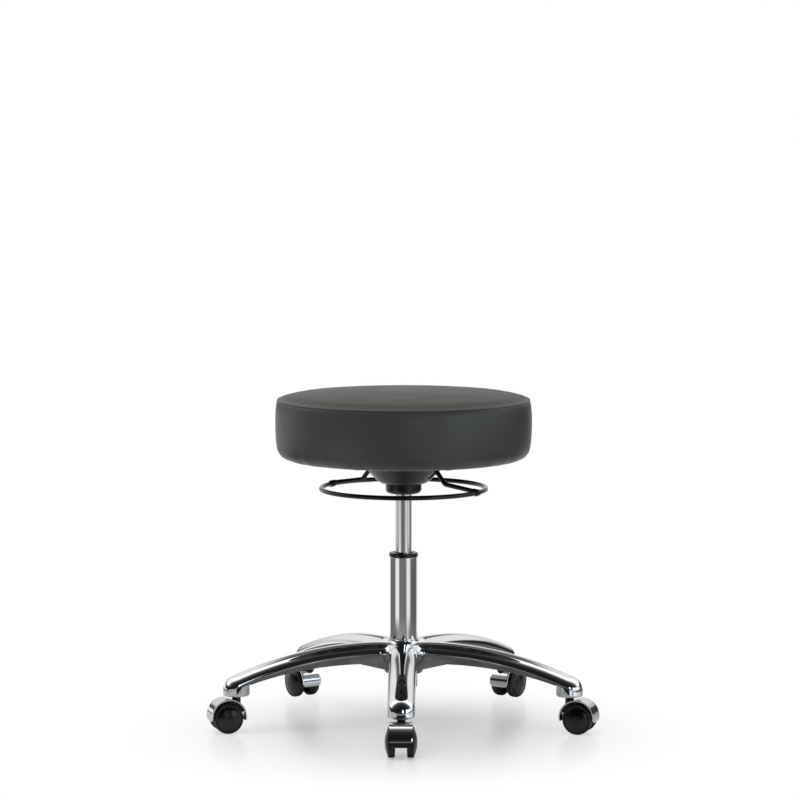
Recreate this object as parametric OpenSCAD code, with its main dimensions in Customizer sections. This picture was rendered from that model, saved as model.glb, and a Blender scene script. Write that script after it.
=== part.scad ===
// Lab stool: round cushion on a ring-release gas lift and a five-arm cast base with hooded casters

/* [Overall] */
// Height of the cushion's crown above the floor, with the lift where the stool stands at rest
seat_height = 575.5; // [540:0.5:620]
// Lift travel left below the rest height
stroke_down = 95; // [70:1:105]
// Lift travel left above the rest height
stroke_up = 25; // [15:1:35]

/* [Cushion] */
// Widest diameter of the cushion
cushion_d = 444; // [400:1:480]
// Thickness of the cushion from underside to crown
cushion_h = 116.5; // [95:0.5:130]
// Radius of the rolled lower edge
lower_edge_r = 23; // [15:0.5:30]
// How far the sides draw in from the widest line at each seam
side_draw = 2.2; // [1:0.1:5]
// Extra draw at the upper seam, where boxing and top panel are sewn together
seam_draw = 1.6; // [0.5:0.1:4]
// Height of the crown above the upper seam
crown_h = 14; // [8:0.5:20]
// Thickness of the vinyl cover
cover_t = 1.2; // [0.8:0.1:2]
// Diameter of the plywood seat board
board_d = 392; // [340:1:392]
// Thickness of the plywood seat board
board_t = 12; // [9:0.5:18]
// Thickness of the dust cover stapled under the board
dust_t = 0.8; // [0.5:0.1:1.5]

/* [Seat plate] */
// Side of the square pressed-steel seat plate
plate_w = 178; // [170:1:190]
// Thickness of the seat plate
plate_t = 3; // [2:0.5:5]
// Distance between neighbouring seat bolts
bolt_pitch = 152; // [140:1:155]
// Thread diameter of the seat bolts
bolt_d = 8; // [6:1:8]
// Bottom radius of the pressed steel pan
pan_r = 39; // [36:0.5:44]
// Sheet thickness of the pan
pan_t = 2; // [1.5:0.1:3]
// Height of the bend between the pan's bottom and its 45 degree flank
pan_bend_h = 4.5; // [3:0.1:7]
// Diameter of the collar under the pan
collar_d = 62; // [56:1:70]
// Height of the collar
collar_h = 18; // [14:0.5:24]

/* [Gas lift] */
// Diameter of the bright pressure tube
tube_d = 28; // [26:0.5:30]
// Wall of the pressure tube
tube_t = 1.6; // [1.2:0.1:2.5]
// Depth of the steel socket that grips the pressure tube
socket_h = 23; // [18:0.5:30]
// Diameter of the outer column
column_d = 48; // [45:0.5:52]
// Wall of the outer column
column_t = 2; // [1.5:0.1:3]
// Height of the column's open top above the floor
column_top = 290; // [270:1:300]
// Height of the visible cap of the guide bush
bush_cap_h = 7; // [4:0.5:10]
// Length of the guide bush inside the column
bush_len = 68; // [50:1:75]
// Diameter of the piston rod
rod_d = 10; // [8:0.5:12]
// Rise of the valve button above the pressure tube
button_rise = 4.7; // [4:0.1:6]

/* [Release ring] */
// Diameter of the ring, measured along the middle of its wire
ring_d = 284; // [250:1:310]
// Diameter of the ring and spoke wire
wire_d = 8; // [6:0.5:10]
// Height of the ring's wire centre under the cushion's underside
ring_drop = 51; // [40:1:56]
// Turn of the spokes about the lift, seen from above
spoke_turn = -28; // [-60:1:60]
// Distance of each fulcrum from the lift axis
fulcrum_r = 30; // [24:1:36]
// Thickness of the release bar
bar_t = 5; // [4:0.5:6]
// Width of the release bar
bar_w = 24; // [18:1:30]

/* [Base] */
// Radius of the circle on which the caster stems stand
stem_circle_r = 299; // [270:0.5:320]
// Width of an arm at its outer end
arm_w = 44.5; // [40:0.5:47]
// Extra width of an arm where it leaves the hub
arm_flare = 4.5; // [0:0.5:8]
// Radius of an arm's top line, seen from the side
arm_bow_r = 655; // [560:1:760]
// Height of the highest point of an arm
arm_peak_z = 142.5; // [135:0.5:150]
// Distance of that highest point from the lift axis
arm_peak_r = 60; // [45:1:75]
// Radius of the polished edges along an arm
arm_edge_r = 17; // [12:0.5:19]
// Height of the polished rounded part of an arm
arm_band_h = 18.5; // [17.5:0.5:22]
// How far the round end of an arm stands proud of its sides
boss_swell = 0.4; // [0.2:0.1:1]
// Full depth of an arm near the hub
arm_root_h = 34; // [30:0.5:38]
// Full depth of an arm where it meets the boss
arm_tip_h = 23.5; // [21:0.5:28]
// Width of the rough rib under an arm
rib_w = 30; // [26:0.5:34]
// Wall left around the hollow underside of an arm
casting_wall = 5; // [4:0.5:7]
// Height of the hub's lower face above the floor
hub_floor_z = 88; // [80:1:96]
// Outer radius of the hub's lower part
hub_r = 33; // [31:0.5:36]
// Height of the bosses' lower faces above the floor
boss_floor_z = 62.5; // [62.5:0.5:70]

/* [Casters] */
// Wheel diameter
wheel_d = 51; // [48:0.5:52]
// Width of one wheel
wheel_w = 17; // [14:0.5:20]
// Gap between the two wheels of a caster
wheel_gap = 20; // [18:0.5:24]
// Distance of the axle behind the stem
caster_trail = 18.5; // [17:0.5:22]
// Outer radius of the bright hood
hood_r = 31; // [30.5:0.5:32]
// Sheet thickness of the hood
hood_t = 2; // [1:0.1:2]
// Width of the hood
hood_w = 38; // [32:1:46]
// Angle that the hood reaches below its own middle, on each side
hood_lap = 13; // [5:0.5:20]
// Diameter of the axle
axle_d = 6; // [5:0.5:8]
// Diameter of the stem inside the arm
stem_d = 10; // [9:0.5:10.5]
// Length of the stem inside the arm
stem_len = 22; // [18:0.5:26]
// Outer diameter of the caster frame's neck
neck_d = 14.4; // [13:0.1:16]

/* [Hidden] */
$fn = 96;

// Clearances and the overrun of cuts
fit = 0.05;
run_gap = 0.3;
cut = 1;

// Colours
chrome = [0.78, 0.79, 0.80];
steel = [0.62, 0.63, 0.65];
black_plastic = [0.07, 0.07, 0.07];
black_paint = [0.09, 0.09, 0.10];
vinyl = [0.30, 0.30, 0.28];

// Numbers of repeats
arm_count = 5;
arm_step = 360 / arm_count;
ball_count = 12;

// Heights of the upper assembly, worked down from the cushion
cushion_z = seat_height - cushion_h;
board_z = cushion_z + cover_t;
plate_z = cushion_z - dust_t - plate_t;
tab_h = 4;
bar_top_z = plate_z - tab_h - run_gap;
bar_z = bar_top_z - bar_t;
button_top_z = bar_z - run_gap;
tube_top_z = button_top_z - button_rise;
pan_z = tube_top_z - socket_h;
collar_z = pan_z - collar_h;
ring_z = cushion_z - ring_drop;

// Cushion details
cushion_r = cushion_d / 2;
hem_w = 62;
dust_lap = 14;
top_seam_z = seat_height - crown_h;
crown_power = 2.6;

// Seat plate and pan details
plate_corner_r = 18;
pan_flange_w = 9;
slot_room = 3;
pan_slot_w = wire_d + slot_room;
pan_bend_extra = 2.5;
pan_edge_w = 4.5;
pan_edge_h = 2;
pan_draw = 0.5;
slot_lift = 4;
slot_web = 0.5;
bolt_room = 1;
tab_nose_r = 2;
socket_t = 5;
collar_t = 3;
collar_edge_r = 7;
head_h = 5.3;
head_af = 13;
washer_d = 17;
washer_t = 1.6;
tee_d = 10;
tee_flange_d = 19;
tee_flange_t = 1.5;
tee_len = 9;

// Gas lift details
column_floor_z = 63;
end_plate_t = 3;
race_t = 1.5;
race_d = 30;
ball_d = 3.8;
ball_gap = 0.1;
ball_pcd = 21;
cage_t = 2.4;
cage_margin = 1;
journal_d = 8;
journal_drop = 6;
clip_t = 1.5;
clip_d = 14;
clip_groove = 0.5;
clip_drop = 1;
clip_gap_angle = 60;
bumper_d = 26;
bumper_h = 15;
bumper_chamfer = 4;
lift_reserve = 7;
rod_guide_h = 18;
tube_lip = 1;
piston_h = 12;
piston_margin = 5;
rod_end = 3;
cap_lip = 1;
cap_chamfer = 1.5;
bush_cap_d = column_d + 2 * cap_lip;
race_z = column_floor_z + end_plate_t;
ball_z = race_z + race_t + ball_gap + ball_d / 2;
upper_race_z = ball_z + ball_d / 2 + ball_gap;
shoulder_z = upper_race_z + race_t;
bumper_z = shoulder_z;
tube_z = bumper_z + bumper_h + lift_reserve + stroke_down;
tube_bore_r = tube_d / 2 - tube_t;
piston_z = tube_z + stroke_up + rod_guide_h + piston_margin;
button_d = 8;
button_len = 13;
button_dome = 0.8;
valve_h = 20;
valve_floor_h = 3;

// Release ring details
knee_r = 81;
knee_drop = 3.4;
shoulder_bend_r = 60;
bar_half = 52;
spoke_rise = 2;
clip_ball_d = 14;
wire_fn = 32;

// Base details
hub_bore_r = column_d / 2 + fit;
hub_collar_t = 1.6;
hub_flare_r = 9;
hub_top_z = arm_peak_z + 5;
hub_chamfer = 2;
web_r = 47;
web_h = 28;
web_drop = 6;
web_chamfer = 5;
web_round = 10;
boss_r = arm_w / 2 + boss_swell;
arm_centre_z = arm_peak_z - arm_bow_r;
arm_taper = atan(arm_flare / 2 / stem_circle_r);
rib_start_share = 0.8;
rib_full_share = 0.28;
rib_end_share = 0.93;
pocket_start_share = 0.19;
pocket_end_share = 0.87;
pocket_count = 3;
pocket_rib_share = 0.012;
socket_clear = 0.55;
socket_extra = 2;
arm_fn = 128;

// Caster details
axle_z = wheel_d / 2;
wheel_in = wheel_gap / 2;
wheel_out = wheel_in + wheel_w;
tread_round = 3;
dome_h = 5;
dome_rim = 2.5;
axle_inset = 2.5;
axle_half = wheel_out - axle_inset;
wheel_web_share = 0.45;
wheel_rim_share = 0.8;
web_w = 15;
saddle_w = 17;
frame_boss_d = 18;
frame_side_gap = 0.5;
frame_boss_w = wheel_gap - 2 * frame_side_gap;
web_foot_shares = [0.7, 0.9];
web_neck_shares = [0.75, 0.3];
web_low_shares = [0.6, 0.75];
saddle_t = 5;
saddle_start = 20;
saddle_end = 165;
stem_pin_d = 8;
stem_pin_len = 16;
grip_d = stem_d + 2 * socket_clear - 2 * fit;
grip_t = 0.9;
grip_h = 4;
grip_above = 13;
grip_gap_angle = 40;
hood_corner_r = 7;
corner_ease = 0.15;
hood_hole_lift = 6;
hood_hole_room = 2;
hood_hole_r = neck_d / 2 + hood_hole_room;
hood_rise = 2.5;
hood_shift = 1.5;
neck_top_z = boss_floor_z - run_gap;

// Height of an arm's top line at a distance from the lift axis
function arm_top(r) = arm_centre_z + sqrt(pow(arm_bow_r, 2) - pow(r - arm_peak_r, 2));

// Depth of an arm with its rib, from near the hub to the boss
function arm_depth(share) = arm_root_h + (arm_tip_h - arm_root_h) * share;

// Points of an arc in a flat outline
function arc(cx, cy, r, from, to, steps) =
    [for (i = [0:steps]) let (a = from + (to - from) * i / steps) [cx + r * cos(a), cy + r * sin(a)]];

// Cushion outline from the axis to the crown, drawn in by an inset
function cushion_outline(inset) =
    let (
        r0 = cushion_r - inset,
        z0 = cushion_z + inset,
        edge = lower_edge_r - inset,
        seam = top_seam_z - inset,
        side_z = z0 + edge,
        crown_r = r0 - side_draw - seam_draw
    )
    concat(
        [[0, z0]],
        arc(r0 - side_draw - edge, z0 + edge, edge, -90, 0, 7),
        [for (i = [1:9]) let (s = i / 10)
            [r0 - side_draw * pow(2 * s - 1, 2), side_z + (seam - side_z) * s]],
        [for (i = [0:14]) let (s = 1 - pow(i / 15, 2), r = crown_r * s)
            [r, seam + crown_h * sqrt(1 - pow(s, crown_power))]],
        [[0, seam + crown_h]]
    );

module turned(points) {
    rotate_extrude() polygon(points);
}

module ring_of(outer_r, inner_r, z, h) {
    translate([0, 0, z]) difference() {
        cylinder(r = outer_r, h = h);
        translate([0, 0, -cut]) cylinder(r = inner_r, h = h + 2 * cut);
    }
}

module at_bolts() {
    for (x = [-1, 1], y = [-1, 1])
        translate([x * bolt_pitch / 2, y * bolt_pitch / 2, 0]) children();
}

module at_arm(k) {
    rotate([0, 0, -90 + arm_step * (k - 1)]) children();
}

module at_caster(k) {
    at_arm(k) translate([stem_circle_r, 0, 0]) children();
}

// Turns a part whose axis is Z so that it lies along a caster's axle
module on_axle() {
    translate([caster_trail, 0, axle_z]) rotate([90, 0, 0]) children();
}

// The same onto the hood's own middle, a little above the axle and nearer to the stem
module on_hood() {
    on_axle() translate([-hood_shift, hood_rise, 0]) children();
}

// Polished half-round section of an arm, on the radius of its top line
module arm_section() {
    edge_x = arm_bow_r - arm_edge_r;
    edge_y = arm_w / 2 - arm_edge_r;
    intersection() {
        union() {
            for (s = [-1, 1]) translate([edge_x, s * edge_y]) circle(r = arm_edge_r);
            translate([edge_x, -edge_y]) square([arm_edge_r, 2 * edge_y]);
            translate([arm_bow_r - arm_band_h, -arm_w / 2]) square([arm_band_h - arm_edge_r, arm_w]);
        }
        translate([arm_bow_r - arm_band_h, -arm_w]) square([2 * arm_band_h, 2 * arm_w]);
    }
}

// Sweeps a section along the arm's bow between two distances from the lift axis
module along_bow(from_r, to_r) {
    from_a = asin((from_r - arm_peak_r) / arm_bow_r);
    to_a = asin((to_r - arm_peak_r) / arm_bow_r);
    translate([arm_peak_r, 0, arm_centre_z]) rotate([90, 0, 0]) rotate([0, 0, 90 - to_a])
        rotate_extrude(angle = to_a - from_a, $fn = arm_fn * 4) children();
}

// Rough rib under an arm, as a flat outline seen from the side
module rib_outline() {
    steps = 8;
    start_r = hub_r * rib_start_share;
    full_r = stem_circle_r * rib_full_share;
    end_r = stem_circle_r * rib_end_share;
    upper = [for (i = [0:steps]) let (r = start_r + (end_r - start_r) * i / steps)
        [r, arm_top(r) - arm_band_h / 2]];
    lower = [for (i = [steps:-1:0]) let (r = full_r + (end_r - full_r) * i / steps)
        [r, arm_top(r) - arm_depth(i / steps)]];
    polygon(concat(upper, lower, [[start_r, hub_floor_z + casting_wall]]));
}

// One side of an arm, turned about its stem so that the arm widens towards the hub
module half_arm() {
    intersection() {
        translate([stem_circle_r, 0, 0]) rotate([0, 0, arm_taper]) translate([-stem_circle_r, 0, 0]) {
            along_bow(hub_bore_r, stem_circle_r) arm_section();
            translate([0, rib_w / 2, 0]) rotate([90, 0, 0])
                linear_extrude(height = rib_w) rib_outline();
        }
        translate([0, -arm_w, 0]) cube([stem_circle_r + arm_w, arm_w, arm_peak_z + arm_w]);
    }
}

module boss() {
    top_z = arm_top(stem_circle_r);
    intersection() {
        turned_at_stem(concat(
            [[0, boss_floor_z], [boss_r, boss_floor_z]],
            arc(boss_r - arm_edge_r, top_z - arm_edge_r, arm_edge_r, 0, 90, 12),
            [[0, top_z]]
        ));
        translate([arm_peak_r, 0, arm_centre_z]) rotate([90, 0, 0])
            cylinder(r = arm_bow_r, h = 2 * arm_w, center = true, $fn = arm_fn * 4);
    }
}

module turned_at_stem(points) {
    translate([stem_circle_r, 0, 0]) turned(points);
}

// Hollow underside of an arm, left open downwards between cross ribs
module pockets() {
    half = rib_w / 2 - casting_wall;
    span = (pocket_end_share - pocket_start_share) / pocket_count;
    for (i = [0:pocket_count - 1])
        along_bow(
            stem_circle_r * (pocket_start_share + span * i + (i > 0 ? pocket_rib_share / 2 : 0)),
            stem_circle_r * (pocket_start_share + span * (i + 1) - pocket_rib_share / 2)
        ) {
            translate([arm_bow_r - casting_wall - half, 0]) circle(r = half);
            translate([arm_bow_r - casting_wall - half - 2 * arm_root_h, -half])
                square([2 * arm_root_h, 2 * half]);
        }
}

module arm() {
    difference() {
        union() {
            half_arm();
            mirror([0, 1, 0]) half_arm();
            boss();
        }
        pockets();
        translate([stem_circle_r, 0, boss_floor_z - cut])
            cylinder(d = stem_d + 2 * socket_clear, h = stem_len + socket_extra + cut);
    }
}

module hub() {
    web_z = arm_peak_z - arm_root_h;
    turned(concat(
        [[0, hub_floor_z], [hub_r - hub_chamfer, hub_floor_z], [hub_r, hub_floor_z + hub_chamfer]],
        [[hub_r, web_z - web_drop]],
        [[web_r - web_chamfer, web_z], [web_r, web_z + web_chamfer]],
        arc(web_r - web_round, web_z + web_h - web_round, web_round, 0, 90, 6),
        arc(hub_bore_r + hub_collar_t + hub_flare_r, hub_top_z, hub_flare_r, 270, 180, 8),
        [[0, hub_top_z]]
    ));
}

module base_casting() {
    color(chrome) difference() {
        union() {
            for (k = [1:arm_count]) at_arm(k) arm();
            hub();
        }
        translate([0, 0, hub_floor_z - cut])
            cylinder(r = hub_bore_r, h = hub_top_z - hub_floor_z + 2 * cut);
    }
}

// Gas lift
module column_tube() {
    color(chrome) difference() {
        translate([0, 0, column_floor_z]) cylinder(d = column_d, h = column_top - column_floor_z);
        translate([0, 0, race_z]) cylinder(r = column_d / 2 - column_t, h = column_top);
        translate([0, 0, column_floor_z - cut]) cylinder(r = journal_d / 2 + fit, h = end_plate_t + 2 * cut);
    }
}

module guide_bush() {
    sleeve_r = column_d / 2 - column_t - fit;
    bore_r = tube_d / 2 + fit;
    top_z = column_top + bush_cap_h;
    color(black_plastic) turned([
        [bore_r, column_top - bush_len], [sleeve_r, column_top - bush_len],
        [sleeve_r, column_top], [bush_cap_d / 2, column_top],
        [bush_cap_d / 2, top_z - cap_chamfer], [bush_cap_d / 2 - cap_chamfer, top_z], [bore_r, top_z]
    ]);
}

module lower_washer() {
    color(steel) ring_of(race_d / 2, journal_d / 2 + run_gap, race_z, race_t);
}

module at_balls() {
    for (i = [0:ball_count - 1])
        rotate([0, 0, 360 / ball_count * i]) translate([ball_pcd / 2, 0, ball_z]) children();
}

module ball_cage() {
    color(steel) difference() {
        ring_of(race_d / 2 - cage_margin, journal_d / 2 + cage_margin, ball_z - cage_t / 2, cage_t);
        at_balls() cylinder(r = ball_d / 2 + ball_gap, h = 2 * cage_t, center = true, $fn = 24);
    }
}

module thrust_balls() {
    color(chrome) at_balls() sphere(d = ball_d, $fn = 24);
}

module piston_rod() {
    groove_z = column_floor_z - clip_drop - clip_t;
    color(chrome) difference() {
        union() {
            translate([0, 0, column_floor_z - journal_drop])
                cylinder(d = journal_d, h = shoulder_z - column_floor_z + journal_drop);
            translate([0, 0, shoulder_z])
                cylinder(d = rod_d, h = piston_z + piston_h - shoulder_z + rod_end);
        }
        ring_of(journal_d, journal_d / 2 - clip_groove, groove_z, clip_t);
    }
}

module piston_head() {
    color(steel) ring_of(tube_bore_r - 2 * fit, rod_d / 2 + fit, piston_z, piston_h);
}

module upper_washer() {
    color(steel) ring_of(race_d / 2, journal_d / 2 + fit, upper_race_z, race_t - fit);
}

module lift_bumper() {
    color(black_plastic) turned([
        [rod_d / 2 + fit, bumper_z], [bumper_d / 2, bumper_z],
        [bumper_d / 2, bumper_z + bumper_h - bumper_chamfer],
        [bumper_d / 2 - bumper_chamfer, bumper_z + bumper_h], [rod_d / 2 + fit, bumper_z + bumper_h]
    ]);
}

module retaining_clip() {
    inner_r = journal_d / 2 - clip_groove + fit;
    clip_z = column_floor_z - clip_drop - clip_t + fit;
    color(steel) translate([0, 0, clip_z]) rotate_extrude(angle = 360 - clip_gap_angle)
        translate([inner_r, 0]) square([clip_d / 2 - inner_r, clip_t - 2 * fit]);
}

module pressure_tube() {
    color(chrome) turned([
        [tube_bore_r, tube_z], [tube_d / 2 - tube_lip, tube_z], [tube_d / 2, tube_z + tube_lip],
        [tube_d / 2, tube_top_z - tube_lip], [tube_d / 2 - tube_lip, tube_top_z], [tube_bore_r, tube_top_z]
    ]);
}

module rod_guide() {
    color(black_plastic) ring_of(tube_bore_r - fit, rod_d / 2 + fit, tube_z, rod_guide_h);
}

module valve_block() {
    block_z = tube_top_z - valve_h;
    color(steel) difference() {
        translate([0, 0, block_z]) cylinder(r = tube_bore_r - fit, h = valve_h);
        translate([0, 0, block_z + valve_floor_h]) cylinder(r = button_d / 2 + fit, h = valve_h);
    }
}

module valve_button() {
    stem_z = tube_top_z - button_len;
    color(chrome) turned([
        [0, stem_z], [button_d / 2, stem_z], [button_d / 2, button_top_z - button_dome],
        [0, button_top_z]
    ]);
}

// Seat mechanism
module taper_socket() {
    color(black_paint) ring_of(tube_d / 2 + fit + socket_t, tube_d / 2 + fit, pan_z, socket_h);
}

module support_pan() {
    bend_r = pan_r + pan_bend_h + pan_bend_extra;
    lip_z = plate_z - pan_t;
    flank = lip_z - pan_z - pan_bend_h;
    slant = pan_t / sqrt(2);
    slot_z = pan_z + pan_bend_h + slot_lift;
    hole_r = tube_d / 2 + 2 * fit + socket_t;
    color(black_paint) difference() {
        turned([
            [hole_r, pan_z], [pan_r, pan_z], [pan_r + pan_edge_w, pan_z + pan_edge_h],
            [bend_r, pan_z + pan_bend_h], [bend_r + flank, lip_z],
            [bend_r + flank + pan_flange_w, lip_z], [bend_r + flank + pan_flange_w, plate_z],
            [bend_r + flank - slant, plate_z], [bend_r - slant, pan_z + pan_bend_h + slant],
            [pan_r - pan_draw, pan_z + pan_t], [hole_r, pan_z + pan_t]
        ]);
        rotate([0, 0, spoke_turn]) for (s = [0, 180]) rotate([0, 0, s])
            translate([bend_r - pan_t, -pan_slot_w / 2, slot_z])
                cube([flank + pan_flange_w, pan_slot_w, lip_z - slot_z - slot_web]);
    }
}

module lift_collar() {
    bore_r = tube_d / 2 + fit;
    out_r = collar_d / 2;
    color(black_plastic) turned(concat(
        [[bore_r, collar_z]],
        arc(out_r - collar_edge_r, collar_z + collar_edge_r, collar_edge_r, -90, 0, 8),
        [[out_r, pan_z], [out_r - collar_t, pan_z], [out_r - collar_t, collar_z + collar_edge_r]],
        [[out_r - collar_edge_r, collar_z + collar_t], [bore_r + collar_t, collar_z + collar_t]],
        [[bore_r + collar_t, pan_z], [bore_r, pan_z]]
    ));
}

module seat_plate() {
    half = plate_w / 2 - plate_corner_r;
    color(black_paint) difference() {
        translate([0, 0, plate_z]) linear_extrude(height = plate_t) {
            for (x = [-1, 1], y = [-1, 1]) translate([x * half, y * half]) circle(r = plate_corner_r);
            square([plate_w, 2 * half], center = true);
            square([2 * half, plate_w], center = true);
        }
        at_bolts() translate([0, 0, plate_z - cut]) cylinder(d = bolt_d + bolt_room, h = plate_t + 2 * cut);
    }
}

module fulcrum_tabs() {
    color(black_paint) rotate([0, 0, spoke_turn]) for (s = [-1, 1])
        translate([s * fulcrum_r, 0, plate_z]) rotate([90, 0, 0]) {
            translate([0, -tab_h + tab_nose_r, 0]) cylinder(r = tab_nose_r, h = bar_w, center = true);
            translate([-tab_nose_r, -tab_h + tab_nose_r, -bar_w / 2])
                cube([2 * tab_nose_r, tab_h - tab_nose_r, bar_w]);
        }
}

// Cushion
module seat_board() {
    color("burlywood") difference() {
        translate([0, 0, board_z]) cylinder(d = board_d, h = board_t);
        at_bolts() {
            translate([0, 0, board_z - cut]) cylinder(d = tee_d + 2 * fit, h = board_t + 2 * cut);
            translate([0, 0, board_z + board_t - tee_flange_t])
                cylinder(d = tee_flange_d + 2 * fit, h = tee_flange_t + cut);
        }
    }
}

module seat_foam() {
    color("khaki") difference() {
        turned(cushion_outline(cover_t + fit));
        translate([0, 0, cushion_z])
            cylinder(r = board_d / 2 + fit, h = board_z - cushion_z + board_t + fit);
    }
}

module seat_cover() {
    color(vinyl) difference() {
        turned(cushion_outline(0));
        turned(cushion_outline(cover_t));
        translate([0, 0, cushion_z - cut])
            cylinder(r = cushion_r - lower_edge_r - hem_w, h = cover_t + 2 * cut);
    }
}

module dust_cover() {
    color(black_plastic) difference() {
        translate([0, 0, cushion_z - dust_t])
            cylinder(r = cushion_r - lower_edge_r - hem_w + dust_lap, h = dust_t);
        at_bolts() translate([0, 0, cushion_z - dust_t - cut])
            cylinder(d = bolt_d + bolt_room, h = dust_t + 2 * cut);
    }
}

module seat_bolts() {
    head_z = plate_z - washer_t - head_h;
    tip_z = board_z + board_t - tee_flange_t;
    color(steel) at_bolts() {
        translate([0, 0, head_z]) cylinder(d = head_af / cos(30), h = head_h, $fn = 6);
        translate([0, 0, head_z]) cylinder(d = bolt_d, h = tip_z - head_z);
    }
}

module bolt_washers() {
    color(steel) at_bolts() ring_of(washer_d / 2, bolt_d / 2 + fit, plate_z - washer_t, washer_t);
}

module tee_nuts() {
    top_z = board_z + board_t;
    color(steel) at_bolts() {
        ring_of(tee_flange_d / 2, bolt_d / 2 + fit, top_z - tee_flange_t, tee_flange_t);
        ring_of(tee_d / 2, bolt_d / 2 + fit, top_z - tee_len, tee_len);
    }
}

// Release ring and its lever
module release_ring() {
    color(black_paint) ring_wire(wire_d);
}

// Round wire between two points of the spoke's own upright plane
module wire_run(a, b) {
    run = b - a;
    translate([a.x, 0, a.y]) rotate([0, 90 - atan2(run.y, run.x), 0])
        cylinder(d = wire_d, h = norm(run), $fn = wire_fn);
}

module release_lever() {
    wire_z = bar_z + bar_t - wire_d / 2;
    joint_z = ring_z + spoke_rise;
    knee_z = ring_z + wire_d + knee_drop;
    path = [[bar_half - wire_d, wire_z], [shoulder_bend_r, wire_z], [knee_r, knee_z], [ring_d / 2, joint_z]];
    color(black_paint) difference() {
        rotate([0, 0, spoke_turn]) {
            translate([-bar_half, -bar_w / 2, bar_z]) cube([2 * bar_half, bar_w, bar_t]);
            for (s = [0, 180]) rotate([0, 0, s]) {
                for (i = [0:2]) wire_run(path[i], path[i + 1]);
                for (i = [1, 2]) translate([path[i].x, 0, path[i].y]) sphere(d = wire_d, $fn = wire_fn);
            }
        }
        ring_wire(wire_d + 2 * fit);
    }
}

// The ring's round wire, at a diameter of its own
module ring_wire(d) {
    translate([0, 0, ring_z]) rotate_extrude() translate([ring_d / 2, 0]) circle(d = d, $fn = wire_fn);
}

module ring_clips() {
    color(black_plastic) rotate([0, 0, spoke_turn]) for (s = [0, 180]) rotate([0, 0, s])
        difference() {
            translate([ring_d / 2, 0, ring_z + spoke_rise / 2]) sphere(d = clip_ball_d, $fn = wire_fn);
            clip_hollow();
        }
}

// Room inside a clip for the ring's wire and the end of a spoke
module clip_hollow() {
    knee_z = ring_z + wire_d + knee_drop;
    run = [ring_d / 2 - knee_r, ring_z + spoke_rise - knee_z];
    ring_wire(wire_d + 2 * fit);
    translate([knee_r, 0, knee_z]) rotate([0, 90 - atan2(run.y, run.x), 0])
        cylinder(d = wire_d + 2 * fit, h = norm(run) + fit, $fn = wire_fn);
}

// Casters
module caster_stems() {
    color(steel) for (k = [1:arm_count]) at_caster(k) difference() {
        union() {
            translate([0, 0, neck_top_z - stem_pin_len])
                cylinder(d = stem_pin_d, h = stem_pin_len + run_gap + cut);
            translate([0, 0, boss_floor_z]) cylinder(d = stem_d, h = stem_len);
        }
        ring_of(stem_d, grip_d / 2 - grip_t - fit, boss_floor_z + grip_above - fit, grip_h + 2 * fit);
    }
}

module grip_rings() {
    color(steel) for (k = [1:arm_count]) at_caster(k)
        translate([0, 0, boss_floor_z + grip_above]) rotate_extrude(angle = 360 - grip_gap_angle)
            translate([grip_d / 2 - grip_t, 0]) square([grip_t, grip_h]);
}

module caster_frame(k) {
    saddle_r = hood_r - hood_t - fit;
    neck_z = axle_z + frame_boss_d / 2;
    color(black_plastic) at_caster(k) difference() {
        union() {
            on_axle() cylinder(d = frame_boss_d, h = frame_boss_w, center = true);
            on_hood() translate([0, 0, -saddle_w / 2])
                rotate([0, 0, saddle_start]) rotate_extrude(angle = saddle_end - saddle_start)
                    translate([saddle_r - saddle_t, 0]) square([saddle_t, saddle_w]);
            on_axle() translate([0, 0, -web_w / 2]) linear_extrude(height = web_w) frame_web();
            translate([0, 0, neck_z]) cylinder(d = neck_d, h = neck_top_z - neck_z);
        }
        on_axle() cylinder(r = axle_d / 2 + fit, h = 2 * wheel_gap, center = true);
        translate([0, 0, neck_top_z - stem_pin_len - run_gap])
            cylinder(r = stem_pin_d / 2 + fit, h = stem_pin_len + 2 * run_gap + cut);
    }
}

// Web of the frame between axle and neck, seen along the axle
module frame_web() {
    neck_x = caster_trail;
    boss = frame_boss_d / 2;
    intersection() {
        polygon([
            [boss * web_foot_shares[0], boss * web_foot_shares[0]], [boss * web_foot_shares[1], hood_r],
            [-neck_x - neck_d / 2, hood_r], [-neck_x - neck_d / 2, boss * web_neck_shares[0]],
            [-neck_x, boss * web_neck_shares[1]], [-boss * web_low_shares[0], -boss * web_low_shares[1]]
        ]);
        translate([-hood_shift, hood_rise]) circle(r = hood_r - hood_t - saddle_t / 2);
    }
}

module hood_corner() {
    difference() {
        square(hood_corner_r + cut);
        circle(r = hood_corner_r + corner_ease);
    }
}

module caster_hood(k) {
    half = hood_w / 2;
    color(chrome) at_caster(k) difference() {
        on_hood() translate([0, 0, -half]) rotate([0, 0, -hood_lap])
            rotate_extrude(angle = 180 + 2 * hood_lap)
                translate([hood_r - hood_t, 0]) square([hood_t, hood_w]);
        for (side = [0, 1], s = [-1, 1])
            on_hood() mirror([side, 0, 0]) rotate([0, 0, -hood_lap])
                translate([hood_r - 2 * hood_t, hood_corner_r, s * (half - hood_corner_r)])
                    rotate([0, 90, 0]) linear_extrude(height = 3 * hood_t)
                        mirror([s > 0 ? 1 : 0, 0]) mirror([0, 1]) hood_corner();
        translate([0, 0, axle_z + hood_hole_lift]) cylinder(r = hood_hole_r, h = hood_r + cut);
    }
}

module caster_axle(k) {
    color(steel) at_caster(k) on_axle() cylinder(d = axle_d, h = 2 * axle_half, center = true);
}

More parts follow.
